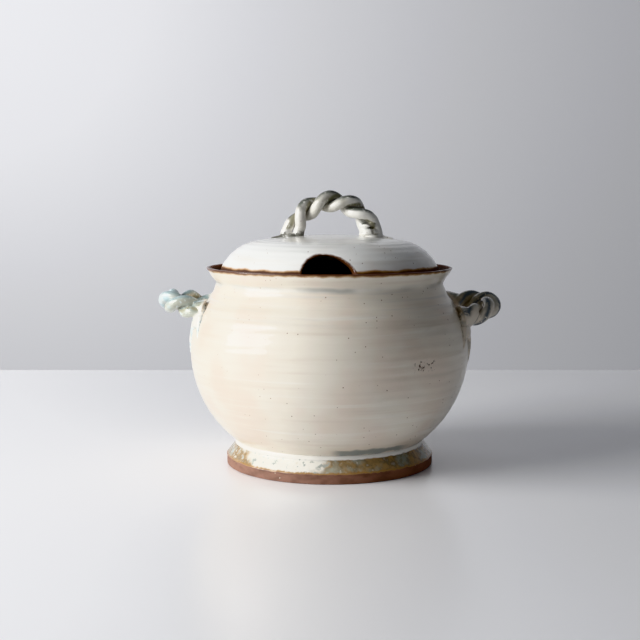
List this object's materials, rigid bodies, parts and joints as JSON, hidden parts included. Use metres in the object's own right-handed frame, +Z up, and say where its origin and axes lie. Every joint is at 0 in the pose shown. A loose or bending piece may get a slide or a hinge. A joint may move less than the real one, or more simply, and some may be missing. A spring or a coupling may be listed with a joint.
{
  "type": "soup tureen",
  "caption": "Round-bellied stoneware serving pot on a flared foot ring, with twisted rope side handles and a domed lift-off lid cut away for a ladle.",
  "frame": {"origin": "on the table, under the middle of the foot ring, on the pot's turning axis", "axes": "+Z up along the pot's turning axis; the side handles lie along X; the lid's ladle notch faces -Y, the front"},
  "size_m": [0.2864, 0.232, 0.2273],
  "materials": {
    "pot_glaze": "cream semi-gloss stoneware glaze with fine iron specks",
    "lid_glaze": "white semi-gloss stoneware glaze, bare brown clay at the edge",
    "foot_glaze": "bare red-brown stoneware with ochre and white glaze above",
    "lid_handle_glaze": "white and grey-green glaze",
    "left_handle_glaze": "pale blue and grey-green glaze",
    "right_handle_glaze": "dark green and cream glaze"
  },
  "bodies": {
    "pot": {"pot_body": "pot_glaze", "foot_ring": "foot_glaze", "left_handle_strand_a": "left_handle_glaze", "left_handle_strand_b": "left_handle_glaze", "right_handle_strand_a": "right_handle_glaze", "right_handle_strand_b": "right_handle_glaze", "left_handle_front_root": "left_handle_glaze", "left_handle_rear_root": "left_handle_glaze", "right_handle_front_root": "right_handle_glaze", "right_handle_rear_root": "right_handle_glaze"},
    "lid": {"lid": "lid_glaze", "lid_handle_strand_a": "lid_handle_glaze", "lid_handle_strand_b": "lid_handle_glaze", "lid_handle_left_root": "lid_handle_glaze", "lid_handle_right_root": "lid_handle_glaze"}
  },
  "joints": [
    {"name": "lid_lift", "type": "slide", "parent": "pot", "child": "lid", "axis": [0, 0, 1], "range_m": [0, 0.11]}
  ]
}
